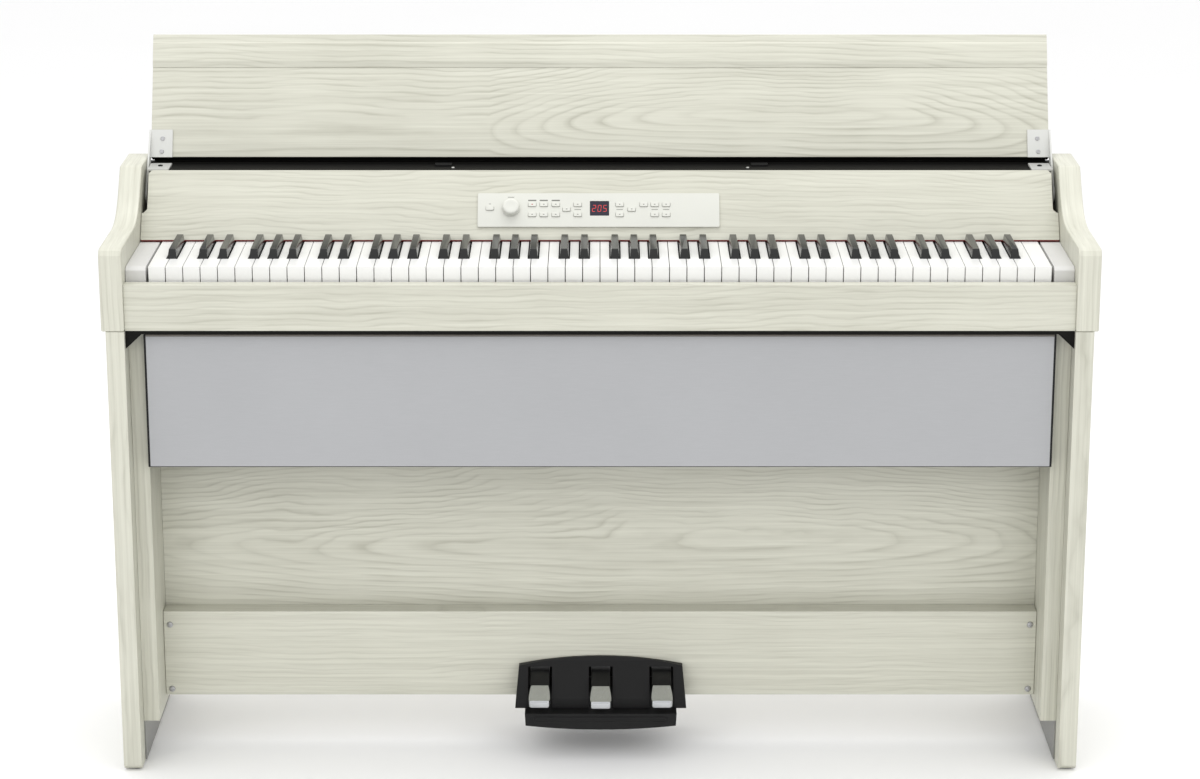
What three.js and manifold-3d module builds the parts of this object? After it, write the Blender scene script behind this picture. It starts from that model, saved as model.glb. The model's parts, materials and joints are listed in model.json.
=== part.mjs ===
// Digital piano on a panel stand, lid open. Millimetres, +X right, +Y back, +Z up.
// The origin is on the floor, in the middle of the object's bounding box.
import * as THREE from 'three';
import { mergeVertices } from 'three/addons/utils/BufferGeometryUtils.js';
import Module from 'manifold-3d';

const wasm = await Module();
wasm.setup();

// ---- driving dimensions ----
const WIDTH = 1346;
const FRONT = -192;
const BODY_BACK = 123;
const OPEN_BACK = 192;
const GAP = 0.3;

const ARM_INNER = 642;
const BODY_BOTTOM = 637;
const ARM_TOP = 818;
const ARM_FLAT = 751;

const LEG_OUTER = 667;
const GLIDE = 3;
const COLUMN_INNER = 619.5;
const COLUMN_FRONT = -156;
const COLUMN_BOTTOM = 62;
const FOOT_PLATE = 2;

const PANEL_HALF = COLUMN_INNER - GAP;
const BACK_PANEL_FRONT = -56;
const BACK_PANEL = 15;
const KICK_FRONT = -86;
const KICK_BOTTOM = 74;
const KICK_TOP = 200;

const SPEAKER_FRONT = -172;
const SPEAKER_BOTTOM = 440;
const CLOTH_TOP = 625;
const CLOTH = 1.5;
const BOARD = 12;
const DRIVER_X = 400;
const DRIVER_Z = 534;
const DRIVER_HOLE = 52;

const KEYBED_TOP = 655;
const SLIP_TOP = 700;
const SLIP_FRONT = -186;
const SLIP = 20;

const WHITE_PITCH = 23.5;
const KEY_GAP = 1;
const KEY_FRONT = -162;
const KEY_TOP = 720;
const KEY_BOTTOM = 702;
const KEY_REAR = 85;
const BLACK_FRONT = -114;
const BLACK_BACK = -18;
const BLACK_WIDTH = 13.7;
const BLACK_CROWN = 9.6;
const BLACK_HEIGHT = 12;
const PIVOT = { y: 75, z: 696 };

const FASCIA_FOOT = { y: -12, z: 722 };
const FASCIA_HEAD = { y: 45, z: 810 };
const FASCIA = 15;
const SLOT_INNER = 634;
const SLOT_BOTTOM = 759;
const COVER_TOP = 806;
const COVER = 3;
const REAR_TOP = 808;

const LID_LEAN = 24;
const LID_CLOSED_SLOPE = 14;
const LID_HALF = 638.5;
const LID_LENGTH = 180;
const LID = 15;
const LIP = 46;
const LIP_PROUD = 3;
const LID_TOP = 980;
const CLOSED_CORNER = { y: 0, z: 775 };
const BRACKET = 2.4;
const BRACKET_INNER = 608;
const BRACKET_LEAF = 40;
const PIN = 4;

const PANEL = { x: -2, width: 338, height: 50, depth: 2.7, middle: 0.42 };
const PEDAL_X = 1;
const PEDAL_PITCH = 86;
const PEDAL_AXIS = { y: -20, z: 100 };

// ---- colours ----
const ASH = { color: 0xdedcd0, roughness: 0.55, metalness: 0 };
const BLACK = { color: 0x151515, roughness: 0.5, metalness: 0 };
const BLACK_STEEL = { color: 0x1b1b1c, roughness: 0.45, metalness: 0.6 };
const STEEL = { color: 0xb9bbbd, roughness: 0.35, metalness: 0.9 };
const CHROME = { color: 0xd8d8d8, roughness: 0.15, metalness: 1 };
const CLOTH_GREY = { color: 0xb8b9bc, roughness: 0.95, metalness: 0 };
const PANEL_WHITE = { color: 0xdcdcd6, roughness: 0.5, metalness: 0 };
const KEY_WHITE = { color: 0xf4f4f2, roughness: 0.25, metalness: 0 };
const KEY_BLACK = { color: 0x2c2e2d, roughness: 0.45, metalness: 0 };
const END_GREY = { color: 0xc9cacb, roughness: 0.6, metalness: 0 };
const BOARD_GREEN = { color: 0x2f5a3c, roughness: 0.6, metalness: 0 };
const WOOD_INSIDE = { color: 0xb99f78, roughness: 0.8, metalness: 0 };

const piano = new THREE.Group();

// ---- solids ----
function toSolid(geometry) {
  const plain = geometry.clone();
  plain.deleteAttribute('normal');
  plain.deleteAttribute('uv');
  const merged = mergeVertices(plain, 1e-4);
  const vertProperties = new Float32Array(merged.attributes.position.array);
  const triVerts = new Uint32Array(merged.index.array);
  return new wasm.Manifold(new wasm.Mesh({ numProp: 3, vertProperties, triVerts }));
}

function toGeometry(solid) {
  const mesh = solid.getMesh();
  const geometry = new THREE.BufferGeometry();
  geometry.setAttribute('position', new THREE.BufferAttribute(new Float32Array(mesh.vertProperties), 3));
  geometry.setIndex(new THREE.BufferAttribute(new Uint32Array(mesh.triVerts), 1));
  return geometry;
}

function join(...geometries) {
  return toGeometry(geometries.map(toSolid).reduce((sum, solid) => sum.add(solid)));
}

function cut(geometry, ...tools) {
  return toGeometry(tools.map(toSolid).reduce((rest, tool) => rest.subtract(tool), toSolid(geometry)));
}

function common(first, second) {
  return toGeometry(toSolid(first).intersect(toSolid(second)));
}

// ---- shapes ----
function block(x, y, z) {
  const low = [Math.min(...x), Math.min(...y), Math.min(...z)];
  const high = [Math.max(...x), Math.max(...y), Math.max(...z)];
  const size = high.map((value, i) => value - low[i]);
  const middle = high.map((value, i) => (value + low[i]) / 2);
  return new THREE.BoxGeometry(...size).translate(...middle);
}

function outline(points) {
  return new THREE.Shape(points.map(([a, b]) => new THREE.Vector2(a, b)));
}

// A side outline in (Y, Z), extruded along X.
function side(points, x) {
  const low = Math.min(...x);
  const depth = Math.max(...x) - low;
  const geometry = new THREE.ExtrudeGeometry(outline(points), { depth, bevelEnabled: false });
  const turn = new THREE.Matrix4().makeBasis(
    new THREE.Vector3(0, 1, 0),
    new THREE.Vector3(0, 0, 1),
    new THREE.Vector3(1, 0, 0),
  );
  return geometry.applyMatrix4(turn).translate(low, 0, 0);
}

// A plan outline in (X, Y), extruded along Z.
function plan(points, z) {
  const geometry = new THREE.ExtrudeGeometry(outline(points), { depth: z[1] - z[0], bevelEnabled: false });
  return geometry.translate(0, 0, z[0]);
}

// A front outline in (X, Z), extruded along Y.
function front(points, y) {
  const geometry = new THREE.ExtrudeGeometry(outline(points), { depth: y[1] - y[0], bevelEnabled: false });
  return geometry.rotateX(Math.PI / 2).translate(0, y[1], 0);
}

function arc(centre, radius, from, to, steps) {
  const points = [];
  for (let i = 0; i <= steps; i += 1) {
    const angle = THREE.MathUtils.degToRad(from + (to - from) * (i / steps));
    points.push([centre.y + radius * Math.cos(angle), centre.z + radius * Math.sin(angle)]);
  }
  return points;
}

function rodX(centre, radius, x) {
  return side(arc(centre, radius, 0, 345, 23), x);
}

function add(name, geometry, finish, parent = piano) {
  const mesh = new THREE.Mesh(geometry, new THREE.MeshStandardMaterial(finish));
  mesh.name = name;
  parent.add(mesh);
  return mesh;
}

const SIDES = [['left', -1], ['right', 1]];

// ---- stand ----
function addStand() {
  const legTop = BODY_BOTTOM - GAP;
  const chamfer = 6;
  for (const [name, sign] of SIDES) {
    const x = [sign * ARM_INNER, sign * LEG_OUTER];
    const cheek = [
      [FRONT, GLIDE + chamfer],
      [FRONT + chamfer, GLIDE],
      [BODY_BACK - chamfer, GLIDE],
      [BODY_BACK, GLIDE + chamfer],
      [BODY_BACK, legTop],
      [FRONT, legTop],
    ];
    add(`${name}_side_panel`, side(cheek, x), ASH);

    const padX = [sign * (ARM_INNER + 5), sign * (LEG_OUTER - 5)];
    const padY = [FRONT + 12, BODY_BACK - 12];
    add(`${name}_glide`, block(padX, padY, [0, GLIDE - GAP]), BLACK);

    const columnX = [sign * COLUMN_INNER, sign * (ARM_INNER - GAP)];
    const columnY = [COLUMN_FRONT, BACK_PANEL_FRONT + BACK_PANEL + 12];
    add(`${name}_column`, block(columnX, columnY, [COLUMN_BOTTOM, legTop]), ASH);

    const plateX = [sign * (ARM_INNER - GAP), sign * (ARM_INNER - GAP - FOOT_PLATE)];
    const plateY = [COLUMN_FRONT, BODY_BACK - 20];
    add(`${name}_foot_plate`, block(plateX, plateY, [GLIDE + 1, COLUMN_BOTTOM - GAP]), STEEL);
  }

  const panelTop = BODY_BOTTOM - GAP;
  const panelY = [BACK_PANEL_FRONT, BACK_PANEL_FRONT + BACK_PANEL];
  add('back_panel', block([-PANEL_HALF, PANEL_HALF], panelY, [KICK_TOP - 10, panelTop]), ASH);

  // The kick board has a notch at its foot for the pedal unit.
  const notch = { half: 113, top: 126 };
  const kickBoard = front([
    [-PANEL_HALF, KICK_BOTTOM],
    [PEDAL_X - notch.half, KICK_BOTTOM],
    [PEDAL_X - notch.half, notch.top],
    [PEDAL_X + notch.half, notch.top],
    [PEDAL_X + notch.half, KICK_BOTTOM],
    [PANEL_HALF, KICK_BOTTOM],
    [PANEL_HALF, KICK_TOP],
    [-PANEL_HALF, KICK_TOP],
  ], [KICK_FRONT, BACK_PANEL_FRONT - GAP]);
  add('kick_board', kickBoard, ASH);

  // A black steel rail under the key slip, with a triangular gusset at each column.
  const railY = [SLIP_FRONT + 3, COLUMN_FRONT - GAP];
  const rail = front([
    [-ARM_INNER + GAP, 611],
    [-COLUMN_INNER, legTop - 5],
    [COLUMN_INNER, legTop - 5],
    [ARM_INNER - GAP, 611],
    [ARM_INNER - GAP, legTop],
    [-ARM_INNER + GAP, legTop],
  ], railY);
  add('front_rail', rail, BLACK_STEEL);
}

// ---- speakers ----
function addSpeakers() {
  const baffleY = [SPEAKER_FRONT + CLOTH + GAP, SPEAKER_FRONT + CLOTH + GAP + BOARD];
  const baffleTop = CLOTH_TOP + 3;
  const baffle = block([-PANEL_HALF, PANEL_HALF], baffleY, [SPEAKER_BOTTOM, baffleTop]);
  const holes = [-DRIVER_X, DRIVER_X].map((x) => {
    const hole = new THREE.CylinderGeometry(DRIVER_HOLE, DRIVER_HOLE, 3 * BOARD, 32);
    return hole.translate(x, (baffleY[0] + baffleY[1]) / 2, DRIVER_Z);
  });
  add('speaker_baffle', cut(baffle, ...holes), BLACK);

  const floorY = [baffleY[1] + GAP, BACK_PANEL_FRONT - GAP];
  const floorZ = [SPEAKER_BOTTOM, SPEAKER_BOTTOM + BOARD];
  add('speaker_floor', block([-PANEL_HALF, PANEL_HALF], floorY, floorZ), BLACK);

  const clothHalf = PANEL_HALF - 3;
  const clothY = [SPEAKER_FRONT, SPEAKER_FRONT + CLOTH];
  add('speaker_cloth', block([-clothHalf, clothHalf], clothY, [SPEAKER_BOTTOM + 1, CLOTH_TOP]), CLOTH_GREY);

  // Basket flange, cone and magnet turned about the driver's axis.
  const turned = [[0, 0], [62, 0], [62, 4], [56, 4], [34, 34], [40, 34], [40, 56], [0, 56]];
  for (const [name, sign] of SIDES) {
    const driver = new THREE.LatheGeometry(turned.map(([r, h]) => new THREE.Vector2(r, h)), 32);
    driver.translate(sign * DRIVER_X, baffleY[1] + GAP, DRIVER_Z);
    add(`${name}_speaker`, driver, BLACK_STEEL);
  }
}

// ---- body ----
function addBody() {
  const armOutline = [
    [FRONT, BODY_BOTTOM],
    [BODY_BACK, BODY_BOTTOM],
    [BODY_BACK, ARM_TOP],
    [33, ARM_TOP],
    [14, 802],
    [-1, 783],
    [-16, 770],
    [-33, 760],
    [-70, ARM_FLAT],
    [FRONT + 11, ARM_FLAT],
    [FRONT + 4, ARM_FLAT - 3],
    [FRONT, ARM_FLAT - 10],
  ];
  for (const [name, sign] of SIDES) {
    add(`${name}_arm`, side(armOutline, [sign * ARM_INNER, sign * WIDTH / 2]), ASH);
    const blockX = [sign * (26 * WHITE_PITCH + 3), sign * (ARM_INNER - GAP)];
    const blockY = [KEY_FRONT, FASCIA_FOOT.y + 22];
    add(`${name}_end_block`, block(blockX, blockY, [KEYBED_TOP + GAP, KEY_TOP]), END_GREY);
  }

  const innerHalf = ARM_INNER - GAP;
  const slipY = [SLIP_FRONT, SLIP_FRONT + SLIP];
  add('key_slip', block([-innerHalf, innerHalf], slipY, [BODY_BOTTOM, SLIP_TOP]), ASH);

  const bedY = [SLIP_FRONT + SLIP + GAP, BODY_BACK - FASCIA - GAP];
  add('key_bed', block([-innerHalf, innerHalf], bedY, [BODY_BOTTOM, KEYBED_TOP]), WOOD_INSIDE);

  const rearY = [BODY_BACK - FASCIA, BODY_BACK];
  add('rear_panel', block([-innerHalf, innerHalf], rearY, [BODY_BOTTOM, REAR_TOP]), BLACK);

  // The cover lies between the slots that the lid brackets swing in.
  const coverY = [FASCIA_HEAD.y + 13, BODY_BACK - FASCIA - GAP];
  add('top_cover', block([-SLOT_INNER, SLOT_INNER], coverY, [COVER_TOP - COVER, COVER_TOP]), BLACK);
}

// The slanted face: unit vectors up the slope and out of the surface.
const rise = new THREE.Vector2(FASCIA_HEAD.y - FASCIA_FOOT.y, FASCIA_HEAD.z - FASCIA_FOOT.z);
const SLOPE_LENGTH = rise.length();
rise.normalize();
const FACE_TILT = Math.atan2(rise.x, rise.y);

// A group whose local axes are X, up the slope and out of the face, at the control panel's middle.
function panelFrame() {
  const frame = new THREE.Group();
  const along = SLOPE_LENGTH * PANEL.middle;
  frame.position.set(PANEL.x, FASCIA_FOOT.y + rise.x * along, FASCIA_FOOT.z + rise.y * along);
  frame.rotation.x = Math.PI / 2 - FACE_TILT;
  piano.add(frame);
  return frame;
}

function addFascia() {
  const inward = { y: rise.y * FASCIA, z: -rise.x * FASCIA };
  const footBack = FASCIA_FOOT.y + FASCIA / rise.y;
  const outlinePoints = [
    [FASCIA_FOOT.y, FASCIA_FOOT.z],
    [footBack, FASCIA_FOOT.z],
    [FASCIA_HEAD.y + inward.y, FASCIA_HEAD.z + inward.z],
    [FASCIA_HEAD.y, FASCIA_HEAD.z],
  ];
  const half = ARM_INNER - GAP;
  const board = side(outlinePoints, [-half, half]);
  const slots = SIDES.map(([, sign]) => block(
    [sign * SLOT_INNER, sign * (half + 10)],
    [FASCIA_FOOT.y - 20, FASCIA_HEAD.y + 40],
    [SLOT_BOTTOM, ARM_TOP + 10],
  ));
  const frame = panelFrame();
  frame.updateMatrixWorld(true);
  const opening = block([-158, 158], [-18, 20], [-40, 20]).applyMatrix4(frame.matrixWorld);
  add('fascia', cut(board, ...slots, opening), ASH);
  return frame;
}

// ---- control panel ----
const CAP = { width: 11, height: 6, top: 4.2 };
const ROW_TOP = 8;
const ROW_BOTTOM = -7;
const KNOB = { x: -122.5, y: 2.5, radius: 12.5 };
const POWER = { x: -152, y: 2.5 };
const DISPLAY = { x: 1.3, y: 2.5, width: 27, height: 22 };
const BUTTON_PADS = {
  sound_buttons: [
    [-92.8, ROW_TOP], [-76.7, ROW_TOP], [-59.9, ROW_TOP],
    [-92.8, ROW_BOTTOM], [-76.7, ROW_BOTTOM], [-59.9, ROW_BOTTOM],
  ],
  function_buttons: [[-44.6, 1], [-29.2, ROW_TOP], [-29.2, ROW_BOTTOM]],
  tempo_buttons: [[29.5, ROW_TOP], [29.5, ROW_BOTTOM], [46.3, 1]],
  recorder_buttons: [
    [63.1, ROW_TOP], [78.5, ROW_TOP], [78.5, ROW_BOTTOM], [94.5, ROW_TOP], [94.5, ROW_BOTTOM],
  ],
};

function cap([x, y], grow, z) {
  const half = [CAP.width / 2 + grow, CAP.height / 2 + grow];
  return block([x - half[0], x + half[0]], [y - half[1], y + half[1]], z);
}

function addControlPanel(frame) {
  const { width, height, depth } = PANEL;
  const plate = block([-width / 2, width / 2], [-height / 2, height / 2], [GAP, depth]);
  const through = [-5, depth + 5];
  const holes = Object.values(BUTTON_PADS).flat().map((at) => cap(at, 0.4, through));
  holes.push(cap([POWER.x, POWER.y], 0.4, through));
  const shaftHole = new THREE.CylinderGeometry(3.6, 3.6, 20, 16).rotateX(Math.PI / 2);
  holes.push(shaftHole.translate(KNOB.x, KNOB.y, 0));
  const windowHalf = [DISPLAY.width / 2, DISPLAY.height / 2];
  const windowX = [DISPLAY.x - windowHalf[0], DISPLAY.x + windowHalf[0]];
  const windowY = [DISPLAY.y - windowHalf[1], DISPLAY.y + windowHalf[1]];
  holes.push(block(windowX, windowY, through));
  add('control_panel', cut(plate, ...holes), PANEL_WHITE, frame);

  const glassX = [windowX[0] + GAP, windowX[1] - GAP];
  const glassY = [windowY[0] + GAP, windowY[1] - GAP];
  const display = block(glassX, glassY, [-6.5, depth - 0.4]);
  const board = block([-155, 140], [-16, 18], [-7.6, -6]);
  add('display_board', join(board, display), BOARD_GREEN, frame);

  const knobTurn = [[0, 3.1], [KNOB.radius, 3.1], [KNOB.radius, 12], [11.5, 13], [0, 13]];
  const knob = new THREE.LatheGeometry(knobTurn.map(([r, h]) => new THREE.Vector2(r, h)), 32);
  const shaft = new THREE.CylinderGeometry(3, 3, 9, 16).translate(0, 0.5, 0);
  const knobSolid = join(knob, shaft).rotateX(Math.PI / 2);
  add('volume_knob', knobSolid, PANEL_WHITE, frame).position.set(KNOB.x, KNOB.y, 0);

  const stem = [-3.4, CAP.top];
  add('power_button', cap([POWER.x, POWER.y], 0, stem), PANEL_WHITE, frame);

  // Each pad is a row of caps on one rubber web behind the panel.
  for (const [name, places] of Object.entries(BUTTON_PADS)) {
    const xs = places.map(([x]) => x);
    const ys = places.map(([, y]) => y);
    const margin = 4;
    const web = block(
      [Math.min(...xs) - margin, Math.max(...xs) + margin],
      [Math.min(...ys) - margin, Math.max(...ys) + margin],
      [-2.6, -1.2],
    );
    add(name, join(web, ...places.map((at) => cap(at, 0, [-2, CAP.top]))), PANEL_WHITE, frame);
  }
}

// ---- keyboard ----
// Each pitch class: its name, and for a black key its offset from the crack between two white keys.
const PITCHES = [
  ['c'], ['c_sharp', -2], ['d'], ['d_sharp', 2], ['e'], ['f'],
  ['f_sharp', -3], ['g'], ['g_sharp', 0], ['a'], ['a_sharp', 3], ['b'],
];
const LOWEST = 9;
const KEY_COUNT = 88;
const MIDDLE_FIRST = 39;
const MIDDLE_LAST = 50;

function layKeys() {
  const keys = [];
  let whites = 0;
  for (let i = 0; i < KEY_COUNT; i += 1) {
    const [name, offset] = PITCHES[(i + LOWEST) % 12];
    const crack = (whites - 26) * WHITE_PITCH;
    const black = offset !== undefined;
    keys.push({ name, black, x: black ? crack + offset : crack + WHITE_PITCH / 2 });
    whites += black ? 0 : 1;
  }
  return keys;
}

function blackKey({ x }) {
  const base = BLACK_WIDTH / 2;
  const crown = BLACK_CROWN / 2;
  const foot = [[x - base, KEY_TOP - 3], [x + base, KEY_TOP - 3]];
  const head = [[x + crown, KEY_TOP + BLACK_HEIGHT], [x - crown, KEY_TOP + BLACK_HEIGHT]];
  const taper = front([...foot, ...head], [BLACK_FRONT, BLACK_BACK]);
  const slant = side([
    [BLACK_FRONT, KEY_TOP - 3],
    [BLACK_BACK, KEY_TOP - 3],
    [BLACK_BACK, KEY_TOP + BLACK_HEIGHT],
    [BLACK_FRONT + 9, KEY_TOP + BLACK_HEIGHT],
  ], [x - 10, x + 10]);
  const stick = block([x - crown, x + crown], [BLACK_FRONT + 4, KEY_REAR], [KEY_BOTTOM, KEY_TOP - 2]);
  return join(common(taper, slant), stick);
}

// A white key is full width in front and narrows beside the black keys next to it.
function whiteKey(keys, index) {
  const { x } = keys[index];
  const half = (WHITE_PITCH - KEY_GAP) / 2;
  const room = BLACK_WIDTH / 2 + KEY_GAP;
  const below = keys[index - 1];
  const above = keys[index + 1];
  const low = below && below.black ? below.x + room : x - half;
  const high = above && above.black ? above.x - room : x + half;
  const shoulder = BLACK_FRONT - KEY_GAP;
  return plan([
    [x - half, KEY_FRONT],
    [x + half, KEY_FRONT],
    [x + half, shoulder],
    [high, shoulder],
    [high, KEY_REAR],
    [low, KEY_REAR],
    [low, shoulder],
    [x - half, shoulder],
  ], [KEY_BOTTOM, KEY_TOP]);
}

function addKeyboard() {
  const keys = layKeys();
  const solid = (index) => (keys[index].black ? blackKey(keys[index]) : whiteKey(keys, index));
  for (let i = MIDDLE_FIRST; i <= MIDDLE_LAST; i += 1) {
    add(`key_${keys[i].name}`, solid(i), keys[i].black ? KEY_BLACK : KEY_WHITE);
  }

  // Outside the middle octave the keys share one rear bar for each section.
  const sections = { bass_keys: [0, MIDDLE_FIRST - 1], treble_keys: [MIDDLE_LAST + 1, KEY_COUNT - 1] };
  for (const [name, [first, last]] of Object.entries(sections)) {
    const pieces = [];
    for (let i = first; i <= last; i += 1) pieces.push(solid(i));
    const ends = [keys[first].x - 8, keys[last].x + 8];
    pieces.push(block(ends, [KEY_REAR - 20, KEY_REAR - 1], [KEY_BOTTOM + 1, KEY_TOP - 4]));
    add(name, join(...pieces), KEY_WHITE);
  }

  // Key frame: a front rail and a fulcrum rail on a base board, with the round fulcrum rod on top.
  const half = 26 * WHITE_PITCH + 2;
  const x = [-half, half];
  const base = block(x, [KEY_FRONT + 12, KEY_REAR + 10], [KEYBED_TOP + GAP, KEYBED_TOP + 8]);
  const frontRail = block(x, [-140, -110], [KEYBED_TOP + 5, 684]);
  const rearRail = block(x, [PIVOT.y - 15, PIVOT.y + 15], [KEYBED_TOP + 5, PIVOT.z - 3]);
  const rod = rodX({ y: PIVOT.y, z: PIVOT.z + 0.5 }, 4.5, x);
  add('key_frame', join(base, frontRail, rearRail, rod), BLACK_STEEL);
}

// ---- lid ----
const lean = THREE.MathUtils.degToRad(LID_LEAN);
const up = { y: Math.sin(lean), z: Math.cos(lean) };
const back = { y: Math.cos(lean), z: -Math.sin(lean) };
const OPEN_CORNER = {
  y: OPEN_BACK - LID_LENGTH * up.y - LID * back.y,
  z: LID_TOP - LID_LENGTH * up.z,
};

function onLid(along, depth) {
  return [
    OPEN_CORNER.y + along * up.y + depth * back.y,
    OPEN_CORNER.z + along * up.z + depth * back.z,
  ];
}

// The one point about which the lid's inner corner turns from its open place to its closed place.
function lidPivot() {
  const swing = THREE.MathUtils.degToRad(90 + LID_LEAN + LID_CLOSED_SLOPE);
  const from = new THREE.Vector2(OPEN_CORNER.y, OPEN_CORNER.z);
  const to = new THREE.Vector2(CLOSED_CORNER.y, CLOSED_CORNER.z);
  const chord = to.clone().sub(from);
  const middle = from.clone().add(to).multiplyScalar(0.5);
  const reach = chord.length() / 2 / Math.tan(swing / 2);
  const left = new THREE.Vector2(-chord.y, chord.x).normalize();
  const centre = middle.addScaledVector(left, reach);
  return { y: centre.x, z: centre.y };
}

const LID_PIVOT = lidPivot();

function addLid() {
  const lipStart = LID_LENGTH - LIP;
  const board = side([
    onLid(0, 0),
    onLid(lipStart, 0),
    onLid(lipStart, -LIP_PROUD),
    onLid(LID_LENGTH, -LIP_PROUD),
    onLid(LID_LENGTH, LID),
    onLid(0, LID),
  ], [-LID_HALF, LID_HALF]);
  add('lid', board, ASH);

  const eye = 11;
  const heading = THREE.MathUtils.radToDeg(
    Math.atan2(OPEN_CORNER.z - LID_PIVOT.z, OPEN_CORNER.y - LID_PIVOT.y),
  );
  for (const [name, sign] of SIDES) {
    const cheekX = [sign * (LID_HALF + GAP), sign * (LID_HALF + GAP + BRACKET)];
    const leafX = [sign * BRACKET_INNER, cheekX[1]];
    const leaf = side([
      onLid(0, -GAP),
      onLid(0, -GAP - BRACKET),
      onLid(BRACKET_LEAF, -GAP - BRACKET),
      onLid(BRACKET_LEAF, -GAP),
    ], leafX);
    const cheek = side([
      onLid(BRACKET_LEAF, -GAP - BRACKET),
      ...arc(LID_PIVOT, eye, heading + 90, heading + 270, 12),
      onLid(0, 4),
      onLid(BRACKET_LEAF, LID - 3),
    ], cheekX);
    const bore = rodX(LID_PIVOT, PIN + GAP, [sign * (LID_HALF - 5), sign * (LID_HALF + 10)]);
    add(`${name}_lid_bracket`, cut(join(leaf, cheek), bore), STEEL);

    // Fixed plate: a screwed leaf on the cover, an ear down through the slot and the pivot pin.
    const earX = [sign * (SLOT_INNER + 1), sign * (SLOT_INNER + 1 + BRACKET)];
    const plateX = [sign * BRACKET_INNER, earX[1]];
    const plateY = [FASCIA_HEAD.y + 10, 99];
    const plate = block(plateX, plateY, [COVER_TOP + GAP, COVER_TOP + GAP + BRACKET]);
    const ear = side([
      [LID_PIVOT.y + 12, COVER_TOP + GAP + BRACKET],
      [LID_PIVOT.y - 6, COVER_TOP + GAP + BRACKET],
      ...arc(LID_PIVOT, 9, 180, 360, 12),
    ], earX);
    const pin = rodX(LID_PIVOT, PIN, [earX[0], cheekX[1]]);
    add(`${name}_hinge_plate`, join(plate, ear, pin), STEEL);
  }
}

// ---- connectors ----
function addConnectors() {
  const plate = block([-560, -440], [BODY_BACK + GAP, BODY_BACK + 2], [660, 700]);
  const inlet = new THREE.CylinderGeometry(6, 6, 6, 20).translate(-540, BODY_BACK + 4, 680);
  add('connector_plate', join(plate, inlet), BLACK);
}

// ---- pedals ----
const COWL_BACK = KICK_FRONT - GAP;
const TRAY_TOP = 70;

function arcTop(half, corner, crown, steps) {
  const points = [];
  for (let i = 0; i <= steps; i += 1) {
    const t = 1 - (2 * i) / steps;
    points.push([PEDAL_X + half * t, corner + (crown - corner) * (1 - t * t)]);
  }
  return points;
}

function pedalPlaces() {
  return [['soft_pedal', -1], ['sostenuto_pedal', 0], ['damper_pedal', 1]].map(([name, step]) => (
    { name, x: PEDAL_X + step * PEDAL_PITCH }
  ));
}

function addPedals() {
  const cowlFront = front([
    [PEDAL_X - 121, TRAY_TOP + GAP],
    [PEDAL_X + 121, TRAY_TOP + GAP],
    ...arcTop(116, 122, 134, 12),
  ], [-140, COWL_BACK]);
  const cowlSide = side([
    [COWL_BACK, TRAY_TOP + GAP],
    [COWL_BACK, 140],
    [-88, 140],
    [-92, 128],
    [-128, 84],
    [-129, TRAY_TOP + GAP],
  ], [-200, 200]);
  const mouths = pedalPlaces().map(({ x }) => block([x - 17, x + 17], [-160, -60], [TRAY_TOP - 5, 121]));
  add('pedal_cowl', cut(common(cowlFront, cowlSide), ...mouths), BLACK);

  // The tray is open below, with ribs between its three pockets, and two cheeks hold the shaft.
  const trayOutline = front([
    ...arcTop(106, 52, 46, 12).reverse(),
    [PEDAL_X + 107, TRAY_TOP],
    [PEDAL_X - 107, TRAY_TOP],
  ], [-150, 0]);
  const pockets = [-1, 0, 1].map((step) => {
    const x = PEDAL_X + step * 70;
    return block([x - 31, x + 31], [-144, -6], [30, TRAY_TOP - 5]);
  });
  const cheeks = [-1, 1].map((sign) => block(
    [PEDAL_X + sign * 101, PEDAL_X + sign * 107],
    [-45, 0],
    [TRAY_TOP - 2, 112],
  ));
  const shaftX = [PEDAL_X - 112, PEDAL_X + 112];
  const shaftBore = rodX(PEDAL_AXIS, 5 + GAP, shaftX);
  const tray = cut(join(cut(trayOutline, ...pockets), ...cheeks), shaftBore);
  add('pedal_tray', tray, BLACK);
  add('pedal_shaft', rodX(PEDAL_AXIS, 5, [PEDAL_X - 109, PEDAL_X + 109]), STEEL);

  // Each lever: a flat toe, a neck up into the cowl and an eye round the shaft.
  for (const { name, x } of pedalPlaces()) {
    const reach = name === 'sostenuto_pedal' ? 4 : 0;
    const toe = plan([
      [x - 13, -128],
      [x - 15.5, -158 - reach],
      [x - 11, -166 - reach],
      [x + 11, -166 - reach],
      [x + 15.5, -158 - reach],
      [x + 13, -128],
    ], [80, 110]);
    const toeSide = side([
      [-166 - reach, 84],
      [-124, 98],
      [-124, 108],
      [-140, 103],
      [-166 - reach, 95],
    ], [x - 20, x + 20]);
    const neck = side([
      [-130, 97],
      [-104, 106],
      [-90, 105],
      [PEDAL_AXIS.y, 92],
      ...arc(PEDAL_AXIS, 10, -80, 80, 8),
      [-90, 115],
      [-106, 115],
      [-130, 105],
    ], [x - 9, x + 9]);
    const bore = rodX(PEDAL_AXIS, 5 + GAP, [x - 12, x + 12]);
    add(name, cut(join(common(toe, toeSide), neck), bore), CHROME);
  }
}

addStand();
addSpeakers();
addBody();
addControlPanel(addFascia());
addKeyboard();
addLid();
addConnectors();
addPedals();

export default piano;
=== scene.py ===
import json
import math

import bmesh
import bpy
from mathutils import Matrix, Vector


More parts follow.
